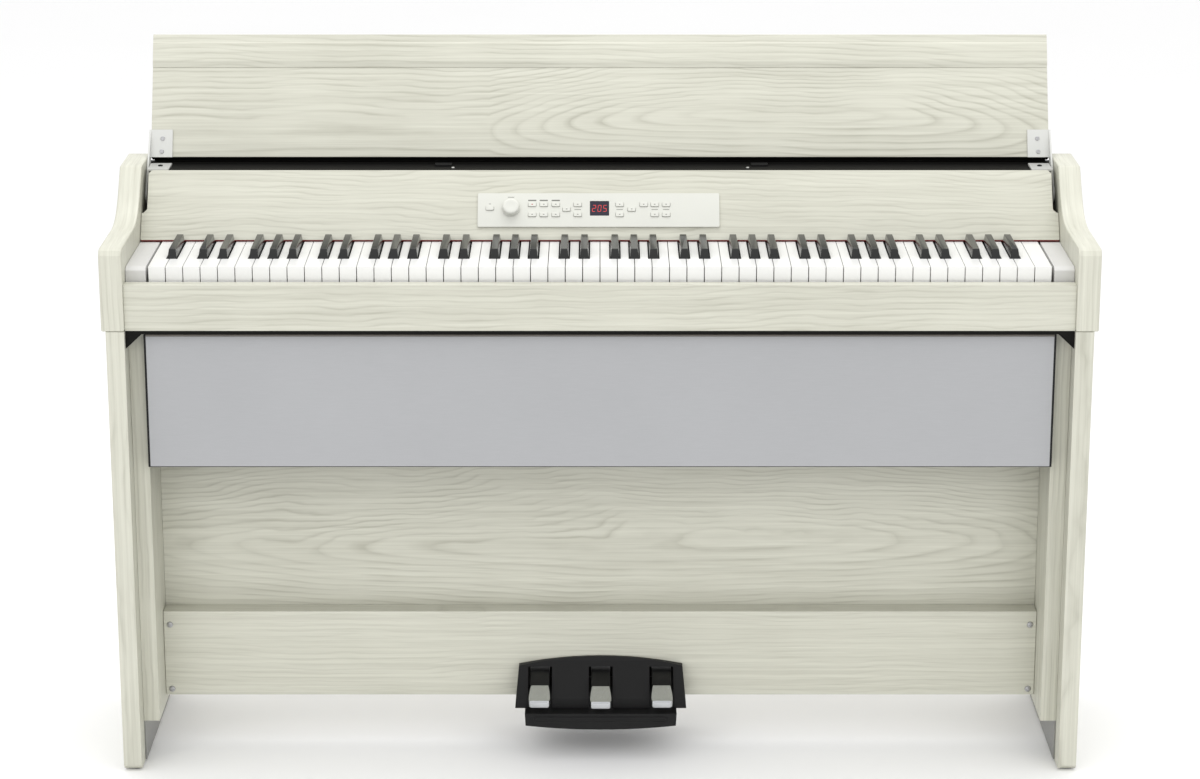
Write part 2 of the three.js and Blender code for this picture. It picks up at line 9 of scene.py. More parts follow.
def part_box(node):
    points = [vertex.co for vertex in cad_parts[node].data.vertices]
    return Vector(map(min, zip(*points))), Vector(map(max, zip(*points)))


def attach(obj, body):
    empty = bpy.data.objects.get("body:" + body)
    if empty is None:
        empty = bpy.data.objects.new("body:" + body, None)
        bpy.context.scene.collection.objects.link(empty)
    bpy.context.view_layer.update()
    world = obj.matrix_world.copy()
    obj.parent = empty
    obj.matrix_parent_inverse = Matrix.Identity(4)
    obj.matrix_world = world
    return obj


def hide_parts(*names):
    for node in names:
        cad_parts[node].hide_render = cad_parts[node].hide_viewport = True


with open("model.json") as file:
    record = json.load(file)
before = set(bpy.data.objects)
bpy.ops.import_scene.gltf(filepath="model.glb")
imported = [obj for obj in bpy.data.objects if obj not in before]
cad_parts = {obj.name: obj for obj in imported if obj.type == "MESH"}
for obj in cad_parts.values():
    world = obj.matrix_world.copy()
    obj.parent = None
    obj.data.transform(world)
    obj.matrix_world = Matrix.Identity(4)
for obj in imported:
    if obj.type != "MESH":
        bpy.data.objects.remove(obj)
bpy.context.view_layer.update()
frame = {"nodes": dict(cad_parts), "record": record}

# Digital piano on a panel stand. Lengths are millimetres until a mesh is made; the camera, the lamps
# and the floor are in metres.
MM = 0.001
SIDES = (("left", -1), ("right", 1))


# ---------------------------------------------------------------- shapes
def node_box(name):
    """A CAD node's lowest and highest corner, in millimetres."""
    low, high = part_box(name)
    return Vector(low) / MM, Vector(high) / MM


def arc(centre, radius, start, end, steps):
    """Points of an arc in a plane; angles in degrees."""
    points = []
    for i in range(steps + 1):
        angle = math.radians(start + (end - start) * i / steps)
        points.append((centre[0] + radius * math.cos(angle), centre[1] + radius * math.sin(angle)))
    return points


def fillet(points, radius, steps=6):
    """The closed outline with each corner rounded; radius is one number or one for each corner."""
    count = len(points)
    radii = radius if isinstance(radius, (list, tuple)) else [radius] * count
    smooth = []
    for i, (corner, r) in enumerate(zip(points, radii)):
        corner = Vector(corner)
        if r <= 0:
            smooth.append(tuple(corner))
            continue
        before = Vector(points[i - 1]) - corner
        after = Vector(points[(i + 1) % count]) - corner
        half = before.angle(after) / 2
        reach = min(r / math.tan(half), before.length * 0.49, after.length * 0.49)
        start = corner + before.normalized() * reach
        end = corner + after.normalized() * reach
        for k in range(steps + 1):
            t = k / steps
            smooth.append(tuple(start * (1 - t) ** 2 + corner * 2 * t * (1 - t) + end * t ** 2))
    return smooth


def rectangle(x, y):
    return [(x[0], y[0]), (x[1], y[0]), (x[1], y[1]), (x[0], y[1])]


def loft(loops):
    """A closed skin through loops of 3-D points, all with the same number of points."""
    bm = bmesh.new()
    rows = [[bm.verts.new(point) for point in loop] for loop in loops]
    count = len(rows[0])
    for low, high in zip(rows, rows[1:]):
        for i in range(count):
            j = (i + 1) % count
            bm.faces.new((low[i], low[j], high[j], high[i]))
    bm.faces.new(list(reversed(rows[0])))
    bm.faces.new(rows[-1])
    bmesh.ops.recalc_face_normals(bm, faces=bm.faces)
    return bm


def prism(outline, low, high, axis):
    """The outline extruded along X (outline in Y, Z), Y (outline in X, Z) or Z (outline in X, Y)."""
    place = {
        "X": lambda a, b, h: (h, a, b),
        "Y": lambda a, b, h: (a, h, b),
        "Z": lambda a, b, h: (a, b, h),
    }[axis]
    return loft([[place(a, b, h) for a, b in outline] for h in (low, high)])


def block(low, high):
    return prism(rectangle((low[0], high[0]), (low[1], high[1])), low[2], high[2], "Z")


def lathe(profile, steps=40):
    """Profile points (radius, height) turned about the Z axis."""
    loops = []
    for radius, height in profile:
        radius = max(radius, 0.001)
        loops.append([(a, b, height) for a, b in arc((0, 0), radius, 0, 360 - 360 / steps, steps - 1)])
    return loft(loops)


def joined(*parts):
    """One mesh holding several shapes, for pieces made of parts that touch."""
    whole = bmesh.new()
    for part in parts:
        mesh = bpy.data.meshes.new("part")
        part.to_mesh(mesh)
        part.free()
        whole.from_mesh(mesh)
        bpy.data.meshes.remove(mesh)
    return whole


def moved(bm, matrix):
    bm.transform(matrix)
    return bm


# ---------------------------------------------------------------- pieces
def round_edges(obj, width, segments=2, angle=32):
    """Rounds the sharp edges and shades the rest smooth."""
    for polygon in obj.data.polygons:
        polygon.use_smooth = True
    obj.data.set_sharp_from_angle(angle=math.radians(angle))
    if width:
        bevel = obj.modifiers.new("rounded edges", "BEVEL")
        bevel.width = width * MM
        bevel.segments = segments
        bevel.limit_method = "ANGLE"
        bevel.angle_limit = math.radians(angle)
        bevel.harden_normals = True
        bevel.use_clamp_overlap = True


def piece(name, bm, material, body="frame", replaces=(), edge=0.6, segments=2, matrix=None):
    """Makes an object from a bmesh in millimetres and rides it on a CAD body."""
    if matrix is not None:
        bm.transform(matrix)
    bm.transform(Matrix.Scale(MM, 4))
    mesh = bpy.data.meshes.new(name)
    bm.to_mesh(mesh)
    bm.free()
    obj = bpy.data.objects.new(name, mesh)
    bpy.context.scene.collection.objects.link(obj)
    obj.data.materials.append(material)
    round_edges(obj, edge, segments)
    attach(obj, body)
    if replaces:
        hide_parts(*replaces)
    return obj


def dress(node, material, edge=0.8, segments=2):
    """Keeps a CAD node, with rounded edges and a finished material."""
    obj = frame["nodes"][node]
    obj.data.materials.clear()
    obj.data.materials.append(material)
    round_edges(obj, edge, segments)


def carve(obj, *cutters):
    """Cuts shapes (bmeshes in millimetres) out of a piece, before its edges are rounded."""
    mesh = bpy.data.meshes.new("cutter")
    bm = joined(*cutters)
    bm.transform(Matrix.Scale(MM, 4))
    bm.to_mesh(mesh)
    bm.free()
    tool = bpy.data.objects.new("cutter", mesh)
    bpy.context.scene.collection.objects.link(tool)
    rounded = [modifier for modifier in obj.modifiers if modifier.type == "BEVEL"]
    for modifier in rounded:
        modifier.show_viewport = False
    boolean = obj.modifiers.new("cut", "BOOLEAN")
    boolean.operation = "DIFFERENCE"
    boolean.solver = "EXACT"
    boolean.use_self = True
    boolean.object = tool
    graph = bpy.context.evaluated_depsgraph_get()
    made = bpy.data.meshes.new_from_object(obj.evaluated_get(graph))
    obj.modifiers.remove(boolean)
    for modifier in rounded:
        modifier.show_viewport = True
    obj.data = made
    bpy.data.objects.remove(tool)
    bpy.data.meshes.remove(mesh)


# ---------------------------------------------------------------- materials
class Finish:
    """A Principled material and short calls for its nodes."""

    def __init__(self, name, color, roughness, metallic=0.0, specular=0.5):
        self.material = bpy.data.materials.new(name)
        self.material.use_nodes = True
        self.tree = self.material.node_tree
        self.shader = self.tree.nodes["Principled BSDF"]
        self.shader.inputs["Base Color"].default_value = (*color, 1)
        self.shader.inputs["Roughness"].default_value = roughness
        self.shader.inputs["Metallic"].default_value = metallic
        self.shader.inputs["Specular IOR Level"].default_value = specular
        self.place = self.tree.nodes.new("ShaderNodeTexCoord").outputs["Object"]

    def add(self, kind, **settings):
        made = self.tree.nodes.new(kind)
        for key, value in settings.items():
            setattr(made, key, value)
        return made

    def feed(self, socket, value):
        if isinstance(value, bpy.types.NodeSocket):
            self.tree.links.new(value, socket)
        else:
            socket.default_value = value

    def math(self, operation, a, b=0.0, c=0.0):
        made = self.add("ShaderNodeMath", operation=operation)
        for socket, value in zip(made.inputs, (a, b, c)):
            self.feed(socket, value)
        return made.outputs[0]

    def combine(self, x, y, z):
        made = self.add("ShaderNodeCombineXYZ")
        for socket, value in zip(made.inputs, (x, y, z)):
            self.feed(socket, value)
        return made.outputs[0]

    def split(self, vector):
        made = self.add("ShaderNodeSeparateXYZ")
        self.feed(made.inputs[0], vector)
        return made.outputs

    def stretched(self, scale):
        made = self.add("ShaderNodeMapping")
        self.feed(made.inputs["Vector"], self.place)
        made.inputs["Scale"].default_value = scale
        return made.outputs[0]

    def noise(self, vector, scale, detail=2.0, rough=0.5):
        made = self.add("ShaderNodeTexNoise")
        self.feed(made.inputs["Vector"], vector)
        made.inputs["Scale"].default_value = scale
        made.inputs["Detail"].default_value = detail
        made.inputs["Roughness"].default_value = rough
        return made.outputs["Fac"]

    def ramp(self, value, stops):
        """stops are (position, brightness) pairs."""
        made = self.add("ShaderNodeValToRGB")
        elements = made.color_ramp.elements
        while len(elements) < len(stops):
            elements.new(0.5)
        for element, (position, level) in zip(elements, stops):
            element.position = position
            element.color = (level, level, level, 1)
        self.feed(made.inputs[0], value)
        return made.outputs["Color"]

    def mix(self, factor, a, b):
        made = self.add("ShaderNodeMix", data_type="RGBA")
        self.feed(made.inputs[0], factor)
        for socket, value in ((made.inputs[6], a), (made.inputs[7], b)):
            self.feed(socket, value if isinstance(value, bpy.types.NodeSocket) else (*value, 1))
        return made.outputs[2]

    def color(self, value):
        self.feed(self.shader.inputs["Base Color"], value)

    def rough(self, value, low, high):
        made = self.add("ShaderNodeMapRange")
        self.feed(made.inputs["Value"], value)
        made.inputs["To Min"].default_value = low
        made.inputs["To Max"].default_value = high
        self.feed(self.shader.inputs["Roughness"], made.outputs["Result"])

    def bump(self, height, depth, strength=1.0):
        """depth is the height of the relief in millimetres."""
        made = self.add("ShaderNodeBump")
        made.inputs["Strength"].default_value = strength
        made.inputs["Distance"].default_value = depth * MM
        self.feed(made.inputs["Height"], height)
        self.feed(self.shader.inputs["Normal"], made.outputs["Normal"])


ASH_LIGHT = (0.625, 0.622, 0.535)
ASH_DARK = (0.335, 0.328, 0.262)
RINGS_PER_METRE = 135.0
ARCH_LIMIT = 0.055


def ash(name, grain, offset, heart=0.05, curve=0.05, sway=0.03, figure=1.0, tone=1.0, spread=1.0):
    """Whitewashed ash. grain is the axis the fibres follow; heart and curve set how far behind the
    face the growth rings' centre lies, and so whether the figure is straight or closes in arches.
    figure and tone scale the rings' contrast and the brightness; a tone above 1 is painted light, a
    brighter copy of the wood for faces turned to the lamps. A small spread keeps the lines parallel round a
    bent edge band."""
    wood = Finish(name, ASH_LIGHT, 0.5)
    x, y, z = wood.split(wood.place)
    along, across, depth = {"X": (x, z, y), "Z": (z, y, x)}[grain]
    along = wood.math("ADD", along, offset[0])
    across = wood.math("MULTIPLY", wood.math("ADD", across, offset[1]), spread)
    fibre_place = wood.combine(along, across, depth)

    # Slow waves bend the rings sideways and vary their spacing.
    slow = wood.combine(wood.math("MULTIPLY", along, 1.5), wood.math("MULTIPLY", across, 4.0), depth)
    bend = wood.math("SUBTRACT", wood.noise(slow, 1.6, 2.0), 0.5)
    wander = wood.math("SUBTRACT", wood.noise(slow, 5.0, 3.0), 0.5)
    side = wood.math("MULTIPLY_ADD", bend, sway, across)
    side = wood.math("MULTIPLY_ADD", wander, sway * 0.25, side)
    arch = wood.math("MINIMUM", wood.math("MULTIPLY", wood.math("MULTIPLY", along, along), curve),
                     ARCH_LIMIT)
    behind = wood.math("ADD", arch, heart)
    behind = wood.math("MULTIPLY_ADD", bend, sway * 0.6, behind)
    behind = wood.math("ADD", behind, depth)
    radius = wood.math("SQRT", wood.math("ADD", wood.math("MULTIPLY", side, side),
                                         wood.math("MULTIPLY", behind, behind)))
    rings = wood.math("MULTIPLY", radius, RINGS_PER_METRE)
    rings = wood.math("MULTIPLY_ADD", wander, 1.2, rings)
    line = wood.ramp(wood.math("FRACT", rings), ((0.0, 0.95), (0.10, 0.62), (0.28, 0.18), (0.78, 0.02),
                                                 (0.93, 0.45), (1.0, 0.95)))

    # Each ring takes the wash differently, and fine pores run along the fibre.
    fade = wood.ramp(wood.noise(slow, 6.0, 2.0), ((0.32, 0.15), (0.66, 1.0)))
    pores_place = wood.combine(wood.math("MULTIPLY", along, 14.0), wood.math("MULTIPLY", across, 560.0),
                               wood.math("MULTIPLY", depth, 560.0))
    pores = wood.ramp(wood.noise(pores_place, 1.0, 3.0, 0.6), ((0.46, 0.0), (0.70, 1.0)))
    streak_place = wood.combine(wood.math("MULTIPLY", along, 2.6), wood.math("MULTIPLY", across, 190.0),
                                wood.math("MULTIPLY", depth, 190.0))
    streaks = wood.noise(streak_place, 1.0, 4.0, 0.6)
    broad = wood.noise(fibre_place, 2.4, 2.0)
    dark = wood.math("MULTIPLY", wood.math("MULTIPLY", line, fade), 0.44 * figure)
    dark = wood.math("MULTIPLY_ADD", pores, 0.12, dark)
    dark = wood.math("MULTIPLY_ADD", wood.math("SUBTRACT", streaks, 0.46), 0.85, dark)
    dark = wood.math("MULTIPLY_ADD", wood.math("SUBTRACT", broad, 0.45), 0.35, dark)
    light_tone, dark_tone = (tuple(v * tone for v in shade) for shade in (ASH_LIGHT, ASH_DARK))
    wood.color(wood.mix(wood.math("ADD", dark, 0.06), light_tone, dark_tone))
    wood.rough(pores, 0.42, 0.60)
    relief = wood.math("MULTIPLY_ADD", line, -0.6, wood.math("MULTIPLY", pores, -0.7))
    wood.bump(relief, 0.1, 0.45)
    return wood.material


def plastic(name, color, roughness, grain=900.0, relief=0.02, specular=0.5):
    """Moulded plastic or paint with a fine texture and a little unevenness in its gloss."""
    made = Finish(name, color, roughness, specular=specular)
    fine = made.noise(made.place, grain, 2.0)
    broad = made.noise(made.place, 9.0, 3.0)
    made.color(made.mix(made.ramp(broad, ((0.35, 0.0), (0.7, 0.5))), color, tuple(v * 0.90 for v in color)))
    made.rough(broad, max(roughness - 0.06, 0.02), roughness + 0.08)
    made.bump(fine, relief, 0.5)
    return made.material


def brushed(name, color, roughness, axis="X"):
    """Metal brushed along X or Y."""
    made = Finish(name, color, roughness, 1.0)
    scale = {"X": (18, 900, 900), "Y": (900, 18, 900)}[axis]
    lines = made.noise(made.stretched(scale), 1.0, 3.0, 0.6)
    made.color(made.mix(lines, tuple(v * 0.88 for v in color), color))
    made.rough(lines, roughness - 0.08, roughness + 0.12)
    made.bump(lines, 0.01, 0.4)
    return made.material


def woven(name, color, pitch, depth):
    """Plain weave in the X-Z plane, with its threads a little uneven."""
    made = Finish(name, color, 0.92)
    made.shader.inputs["Sheen Weight"].default_value = 0.25
    x, _, z = made.split(made.place)
    turns = 2 * math.pi / (pitch * MM)
    warp = made.math("SINE", made.math("MULTIPLY", x, turns))
    weft = made.math("SINE", made.math("MULTIPLY", z, turns))
    weave = made.math("MULTIPLY", warp, weft)
    level = made.math("MULTIPLY_ADD", weave, 0.5, 0.5)
    thread = made.noise(made.stretched((40, 40, 900)), 1.0, 3.0)
    cloud = made.noise(made.place, 5.0, 3.0)
    tone = made.math("MULTIPLY_ADD", thread, 0.35, made.math("MULTIPLY", level, 0.35))
    tone = made.math("MULTIPLY_ADD", cloud, 0.35, tone)
    made.color(made.mix(tone, tuple(v * 0.84 for v in color), tuple(min(v * 1.1, 1) for v in color)))
    made.bump(level, depth, 0.6)
    return made.material


def felt(name, color):
    made = Finish(name, color, 0.95)
    made.shader.inputs["Sheen Weight"].default_value = 0.1
    fuzz = made.noise(made.place, 1400.0, 3.0, 0.7)
    made.color(made.mix(fuzz, tuple(v * 0.7 for v in color), tuple(min(v * 1.25, 1) for v in color)))
    made.bump(fuzz, 0.15, 0.8)
    return made.material


def raw_board(name, color):
    """Unpainted board: short chips of two tones."""
    made = Finish(name, color, 0.8)
    chips = made.noise(made.stretched((60, 220, 220)), 1.0, 4.0, 0.7)
    made.color(made.mix(chips, tuple(v * 0.72 for v in color), tuple(min(v * 1.15, 1) for v in color)))
    made.bump(chips, 0.1, 0.5)
    return made.material


def glowing(name, color, strength):
    made = Finish(name, (0.25, 0.01, 0.01), 0.4)
    made.shader.inputs["Emission Color"].default_value = (*color, 1)
    made.shader.inputs["Emission Strength"].default_value = strength
    cells = made.noise(made.place, 3000.0, 1.0)
    made.color(made.mix(cells, (0.3, 0.01, 0.01), (0.5, 0.03, 0.02)))
    return made.material


WOOD = {
    "lid": ash("ash lid", "X", (-0.27, -0.868), -0.125, 0.30, 0.05, 1.3),
    "lip": ash("ash lid lip", "X", (1.7, -0.70), 0.05, 0.01, 0.03),
    "fascia": ash("ash fascia", "X", (0.4, -0.58), 0.02, 0.02, 0.06),
    "slip": ash("ash key slip", "X", (0.9, -0.48), 0.06, 0.02, 0.045),
    "back": ash("ash back panel", "X", (-0.08, -0.29), 0.075, 0.10, 0.07, 1.2),
    "kick": ash("ash kick board", "X", (1.2, 0.12), 0.04, 0.01, 0.035, 0.55),
    "left": ash("ash left stand", "Z", (0.2, 0.42), 0.75, 0.01, 0.02),
    "right": ash("ash right stand", "Z", (2.9, 0.44), -0.75, 0.01, 0.02),
    "left_arm": ash("ash left arm", "Z", (5.2, 0.40), 0.76, 0.0, 0.02),
    "right_arm": ash("ash right arm", "Z", (6.4, 0.43), -0.76, 0.0, 0.02),
    # The edging's tone of 1.04 is painted light: the faces round the arm's outline, nose and top among
    # them, are a brighter copy of the wood, as if lit from the front.
    "arm_edge_lit": ash("ash arm edging lit", "Z", (1.3, 0.4), 0.9, 0.0, 0.01, 0.7, 1.04, 0.05),
    "column": ash("ash columns", "Z", (3.3, 0.32), 0.4, 0.0, 0.02),
}
BLACK = plastic("black plastic", (0.008, 0.008, 0.0082), 0.44, 1200.0, 0.02, specular=0.22)
BLACK_PAINT = plastic("black paint", (0.007, 0.0068, 0.006), 0.6, 1500.0, 0.015, specular=0.1)
STEEL = brushed("brushed steel", (0.60, 0.60, 0.585), 0.38)
FOOT_STEEL = brushed("foot steel", (0.36, 0.36, 0.35), 0.45, "Y")
PALE_STEEL = plastic("pale enamel", (0.63, 0.635, 0.61), 0.4)
HINGE_STEEL = plastic("hinge zinc", (0.50, 0.50, 0.48), 0.35)
CHROME = brushed("pedal chrome", (0.53, 0.545, 0.56), 0.22, "Y")
SCREW = brushed("screw zinc", (0.48, 0.48, 0.49), 0.35)
CLOTH = woven("grille cloth", (0.405, 0.41, 0.422), 1.6, 0.12)
PANEL = plastic("panel plastic", (0.68, 0.685, 0.63), 0.42)
CAPS = plastic("button plastic", (0.69, 0.695, 0.64), 0.40)
END_GREY = plastic("end block plastic", (0.64, 0.635, 0.62), 0.45)
IVORY = plastic("white key plastic", (0.86, 0.86, 0.845), 0.18, 600.0, 0.004)
EBONY = plastic("black key plastic", (0.008, 0.0085, 0.008), 0.19, 1600.0, 0.006, specular=0.45)
GLASS = plastic("display window", (0.016, 0.014, 0.03), 0.12, 400.0, 0.002)
PRINT = plastic("grey print", (0.17, 0.17, 0.155), 0.6)
RED_PRINT = plastic("red print", (0.42, 0.03, 0.03), 0.6)
GREEN = plastic("solder resist", (0.03, 0.10, 0.045), 0.4)
RUBBER = plastic("glide rubber", (0.012, 0.012, 0.012), 0.8)
BOARD = raw_board("raw board", (0.42, 0.32, 0.20))
# Ash darkened to its colour in shade under the keybed: painted shade, for the rail over the grille cloth.
SHADOW_WOOD = raw_board("rail wood in shade", (0.16, 0.145, 0.125))
FELT = felt("red felt", (0.15, 0.004, 0.005))
DIGIT = glowing("display digits", (1.0, 0.10, 0.12), 0.42)


# ---------------------------------------------------------------- camera, light and floor
CAMERA_PLACE = (0.0, -4.392, 1.741)
CAMERA_DOWN = 15.75
CAMERA_LENS = 96.6
FLOOR_HALF = 30


def aim(obj, target):
    obj.rotation_mode = "QUATERNION"
    obj.rotation_quaternion = (target - obj.location).to_track_quat("-Z", "Y")


def add_camera():
    data = bpy.data.cameras.new("camera")
    data.lens = CAMERA_LENS
    data.sensor_width = 36
    camera = bpy.data.objects.new("camera", data)
    bpy.context.scene.collection.objects.link(camera)
    camera.location = CAMERA_PLACE
    camera.rotation_euler = (math.radians(90 - CAMERA_DOWN), 0, 0)
    bpy.context.scene.camera = camera


def add_area(name, place, target, size, power):
    data = bpy.data.lights.new(name, "AREA")
    data.shape = "RECTANGLE"
    data.size, data.size_y = size
    data.energy = power
    light = bpy.data.objects.new(name, data)
    bpy.context.scene.collection.objects.link(light)
    light.location = place
    aim(light, Vector(target))


def add_studio():
    scene = bpy.context.scene
    scene.view_settings.view_transform = "Standard"
    world = bpy.data.worlds.new("studio")
    world.use_nodes = True
    background = world.node_tree.nodes["Background"]
    background.inputs["Color"].default_value = (1, 1, 1, 1)
    background.inputs["Strength"].default_value = 1.0
    scene.world = world
    add_area("key light", (-1.8, -3.6, 3.0), (0, 0, 0.6), (2.6, 1.8), 22)
    add_area("fill light", (2.2, -3.2, 2.2), (0, 0, 0.5), (2.4, 1.8), 14)
    add_area("top light", (0, 0.2, 3.4), (0, 0, 0.8), (3.4, 1.6), 38)

    bm = bmesh.new()
    for x, y in rectangle((-FLOOR_HALF, FLOOR_HALF), (-FLOOR_HALF, FLOOR_HALF)):
        bm.verts.new((x, y, 0))
    bm.faces.new(bm.verts)
    mesh = bpy.data.meshes.new("floor")
    bm.to_mesh(mesh)
    bm.free()
    floor = bpy.data.objects.new("floor", mesh)
    scene.collection.objects.link(floor)
    paper = Finish("floor paper", (0.97, 0.97, 0.97), 0.8)
    tone = paper.noise(paper.place, 1.2, 2.0)
    paper.color(paper.mix(tone, (0.96, 0.96, 0.96), (0.98, 0.98, 0.98)))
    mesh.materials.append(paper.material)


# ---------------------------------------------------------------- stand
def screw(name, place, direction, radius, body="frame", material=None):
    """A pan-head screw with a cross recess; place is on the surface it is driven into."""
    head = lathe([(radius * 0.98, -0.6), (radius, 0.1), (radius * 0.86, radius * 0.34),
                  (radius * 0.5, radius * 0.46), (0, radius * 0.48)], 24)
    turn = Vector(direction).to_track_quat("Z", "Y").to_matrix().to_4x4()
    matrix = Matrix.Translation(Vector(place)) @ turn
    obj = piece(name, head, material or SCREW, body, edge=0, matrix=matrix)
    cutters = []
    for half in ((radius * 0.6, radius * 0.14), (radius * 0.14, radius * 0.6)):
        bar = block((-half[0], -half[1], radius * 0.22), (half[0], half[1], radius))
        cutters.append(moved(bar, matrix))
    carve(obj, *cutters)


def add_stand():
    for name, _ in SIDES:
        dress(f"{name}_side_panel", WOOD[name], 1.2, 3)
        dress(f"{name}_column", WOOD["column"], 1.0)
        dress(f"{name}_foot_plate", FOOT_STEEL, 0.4)
        dress(f"{name}_glide", RUBBER, 0.6)
    dress("back_panel", WOOD["back"], 0.8)
    dress("front_rail", BLACK_PAINT, 0.8)

    low, high = node_box("kick_board")
    # The notch round the pedal cowl is tighter than in CAD, so no bright corner shows beside it.
    left, right, top = -108, 110, low.z + 46
    outline = [(low.x, low.z), (left, low.z), (left, top), (right, top), (right, low.z),
               (high.x, low.z), (high.x, high.z), (low.x, high.z)]
    piece("kick_board_panel", prism(outline, low.y, high.y, "Y"), WOOD["kick"], replaces=("kick_board",),
          edge=1.2, segments=3)
    for name, sign in SIDES:
        for place, z in (("upper", low.z + 106), ("lower", low.z + 9)):
            screw(f"kick_screw_{name}_{place}", (sign * (high.x - 9), low.y, z), (0, -1, 0), 4.6)


def add_speakers():
    dress("speaker_baffle", BLACK, 1)
    dress("speaker_floor", BLACK_PAINT, 1)
    for name, _ in SIDES:
        dress(f"{name}_speaker", BLACK_PAINT, 0.6)

    # Stretched cloth: a flat field that turns back round the edges of its frame.
    low, high = node_box("speaker_cloth")
    radius, columns, rows = 1.4, 120, 24
    bm = bmesh.new()
    grid = []
    for i in range(columns + 1):
        line = []
        for j in range(rows + 1):
            u, v = i / columns, j / rows
            x = low.x + (high.x - low.x) * u
            z = low.z + (high.z - low.z) * v
            edge = min(x - low.x, high.x - x, z - low.z, high.z - z)
            ripple = 0.22 * math.sin(u * 37 + 2.1 * math.sin(v * 5)) * math.sin(v * math.pi)
            sag = 0.25 * math.sin(u * math.pi) * math.sin(v * math.pi)
            turn = radius * max(0.0, 1 - edge / 3) ** 2
            line.append(bm.verts.new((x, low.y + 0.5 + turn * 0.7 + ripple * 0.8 + sag * 0.5, z)))
        grid.append(line)
    for a, b in zip(grid, grid[1:]):
        for j in range(rows):
            bm.faces.new((a[j], b[j], b[j + 1], a[j + 1]))
    cloth = piece("grille_cloth", bm, CLOTH, replaces=("speaker_cloth",), edge=0)

    # The frame's top rail over the cloth, in wood darkened as if in shade (painted shade).
    rail = prism(rectangle((low.y + 0.2, low.y + 1.4), (high.z + 0.5, high.z + 3.0)), low.x, high.x, "X")
    piece("grille_top_rail", rail, SHADOW_WOOD, edge=0.2)


# ---------------------------------------------------------------- body
ARM_RISE = 67
ARM_STEPS = 18


def arm_outline():
    """The arm's side in (Y, Z): a rounded nose, a flat top, and a smooth rise to the high back."""
    low, high = node_box("left_arm")
    flat = high.z - ARM_RISE
    rise = []
    foot, head = Vector((-74, flat)), Vector((36, high.z))
    first, second = foot + Vector((62, 0)), head + Vector((-34, -36))
    for i in range(ARM_STEPS + 1):
        t = i / ARM_STEPS
        point = (foot * (1 - t) ** 3 + first * 3 * t * (1 - t) ** 2
                 + second * 3 * t * t * (1 - t) + head * t ** 3)
        rise.append((point.x, point.y))
    nose = [(low.y + 11, flat), (low.y + 4, flat - 2.6), (low.y, flat - 9)]
    return [(low.y, low.z), (high.y, low.z), (high.y, high.z), *reversed(rise), *nose]


def add_body():
    outline = arm_outline()
    for name, _ in SIDES:
        low, high = node_box(f"{name}_arm")
        arm = prism(outline, low.x, high.x, "X")
        obj = piece(f"{name}_arm_board", arm, WOOD[f"{name}_arm"], replaces=(f"{name}_arm",),
                    edge=2.2, segments=4)
        obj.modifiers["rounded edges"].angle_limit = math.radians(40)
        # The faces round the outline take the edging wood, brightened as painted light.
        obj.data.materials.append(WOOD["arm_edge_lit"])
        for polygon in obj.data.polygons:
            if abs(polygon.normal.x) < 0.5:
                polygon.material_index = 1

        low, high = node_box(f"{name}_end_block")
        side = [(low.y, low.z), (high.y, low.z), (high.y, high.z - 0.6), (low.y + 6, high.z - 0.6),
                (low.y, high.z - 5)]
        end = prism(fillet(side, [0, 0, 0, 4, 2.5], 4), low.x, high.x, "X")
        piece(f"{name}_end_cheek", end, END_GREY, replaces=(f"{name}_end_block",), edge=0.8)

    dress("key_slip", WOOD["slip"], 1.4, 3)
    dress("key_bed", BOARD, 0.6)
    dress("rear_panel", BLACK_PAINT, 1)
    dress("top_cover", BLACK_PAINT, 0.5)
    dress("connector_plate", BLACK, 0.4)

    low, high = node_box("fascia")
    strip = rectangle((low.y - 1.0, low.y + 9), (low.z - 1.5, low.z - 0.05))
    piece("key_felt", prism(strip, low.x + 1, high.x - 1, "X"), FELT, edge=0.3)


KNOB = (-122.5, 2.5)
POWER = (-152, 2.5)
ROWS = (8, -7)
SOUND_COLUMNS = (-92.8, -76.7, -59.9)
PAIR_COLUMNS = (-29.2, 29.5, 78.5, 94.5)
DISPLAY = {"x": 1.3, "y": 2.5, "half": (13.2, 10.7)}
PANEL_SIZE = (338, 50, 2.7)
PADS = {
    "sound": [(x, y) for y in ROWS for x in SOUND_COLUMNS],
    "function": [(-44.6, 1), (-29.2, ROWS[0]), (-29.2, ROWS[1])],
    "tempo": [(29.5, ROWS[0]), (29.5, ROWS[1]), (46.3, 1)],
    "recorder": [(63.1, ROWS[0]), (78.5, ROWS[0]), (78.5, ROWS[1]), (94.5, ROWS[0]), (94.5, ROWS[1])],
}
CAP = (11, 6, 4.2)
THROUGH = (-5, 9)
DIGIT_LEVELS = (2.38, 2.5)
FASCIA_SLOPE = (57, 88)
FASCIA_THICK = 14.9
# Above this height the fascia is narrower, which leaves slots for the lid brackets.
SLOT_FLOOR = 759
SLOT_SIDE = 634


def panel_frame():
    """The control panel's own axes: X, up the slope, and out of the face."""
    turn = next(j for j in frame["record"]["behaviour"]["joints"] if j["name"] == "volume_turn")
    out = Vector(turn["axis"]).normalized()
    up = Vector((0, out.z, -out.y))
    knob = Vector(turn["pos_m"]) / MM
    origin = knob - Vector((KNOB[0], 0, 0)) - up * KNOB[1]
    axes = Matrix((Vector((1, 0, 0)), up, out)).transposed().to_4x4()
    return Matrix.Translation(origin) @ axes


def rounded_bar(centre, size, radius, low, high):
    half = (size[0] / 2, size[1] / 2)
    outline = fillet(rectangle((centre[0] - half[0], centre[0] + half[0]),
                               (centre[1] - half[1], centre[1] + half[1])), radius, 4)
    return prism(outline, low, high, "Z")


